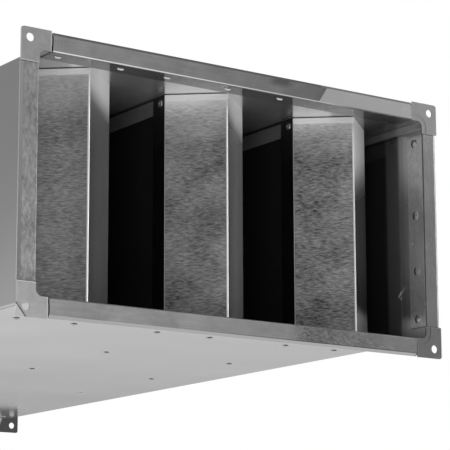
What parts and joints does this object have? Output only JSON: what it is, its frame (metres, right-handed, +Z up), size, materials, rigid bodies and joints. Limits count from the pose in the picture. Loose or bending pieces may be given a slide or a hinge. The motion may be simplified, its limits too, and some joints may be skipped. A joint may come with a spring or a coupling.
{
  "type": "duct sound attenuator",
  "caption": "Rectangular sheet-metal duct sound attenuator with bolted flanges at both mouths and V-nosed absorbent splitters standing across the airway.",
  "frame": {"origin": "centre of the front flange's mating face, at the middle of its bolt pattern", "axes": "+X across the width, +Y along the airflow from the front mouth to the rear mouth, +Z up"},
  "size_m": [0.5408, 0.95, 0.2908],
  "materials": {
    "galvanised_casing": "satin galvanised sheet",
    "galvanised_rail": "satin galvanised sheet, mottled",
    "zinc_corner": "blotchy zinc plating",
    "galvanised_nose": "galvanised sheet with fine wavy streaks",
    "galvanised_channel": "satin galvanised sheet",
    "absorbent_facing": "matt black glass-fibre facing",
    "rivet_steel": "plain blind rivet"
  },
  "bodies": {
    "root": {"casing_sheet_left_top": "galvanised_casing", "casing_sheet_right_bottom": "galvanised_casing", "front_rail_top": "galvanised_rail", "front_rail_bottom": "galvanised_rail", "front_rail_left": "galvanised_rail", "front_rail_right": "galvanised_rail", "front_corner_top_left": "zinc_corner", "front_corner_top_right": "zinc_corner", "front_corner_bottom_left": "zinc_corner", "front_corner_bottom_right": "zinc_corner", "rear_rail_top": "galvanised_rail", "rear_rail_bottom": "galvanised_rail", "rear_rail_left": "galvanised_rail", "rear_rail_right": "galvanised_rail", "rear_corner_top_left": "zinc_corner", "rear_corner_top_right": "zinc_corner", "rear_corner_bottom_left": "zinc_corner", "rear_corner_bottom_right": "zinc_corner", "splitter_1_wool_core": "absorbent_facing", "splitter_1_top_channel": "galvanised_channel", "splitter_1_bottom_channel": "galvanised_channel", "splitter_1_front_nose": "galvanised_nose", "splitter_1_rear_nose": "galvanised_nose", "splitter_1_frame_rivets": "rivet_steel", "splitter_2_wool_core": "absorbent_facing", "splitter_2_top_channel": "galvanised_channel", "splitter_2_bottom_channel": "galvanised_channel", "splitter_2_front_nose": "galvanised_nose", "splitter_2_rear_nose": "galvanised_nose", "splitter_2_frame_rivets": "rivet_steel", "splitter_3_wool_core": "absorbent_facing", "splitter_3_top_channel": "galvanised_channel", "splitter_3_bottom_channel": "galvanised_channel", "splitter_3_front_nose": "galvanised_nose", "splitter_3_rear_nose": "galvanised_nose", "splitter_3_frame_rivets": "rivet_steel", "casing_rivets_top": "rivet_steel", "casing_rivets_bottom": "rivet_steel"}
  },
  "joints": []
}
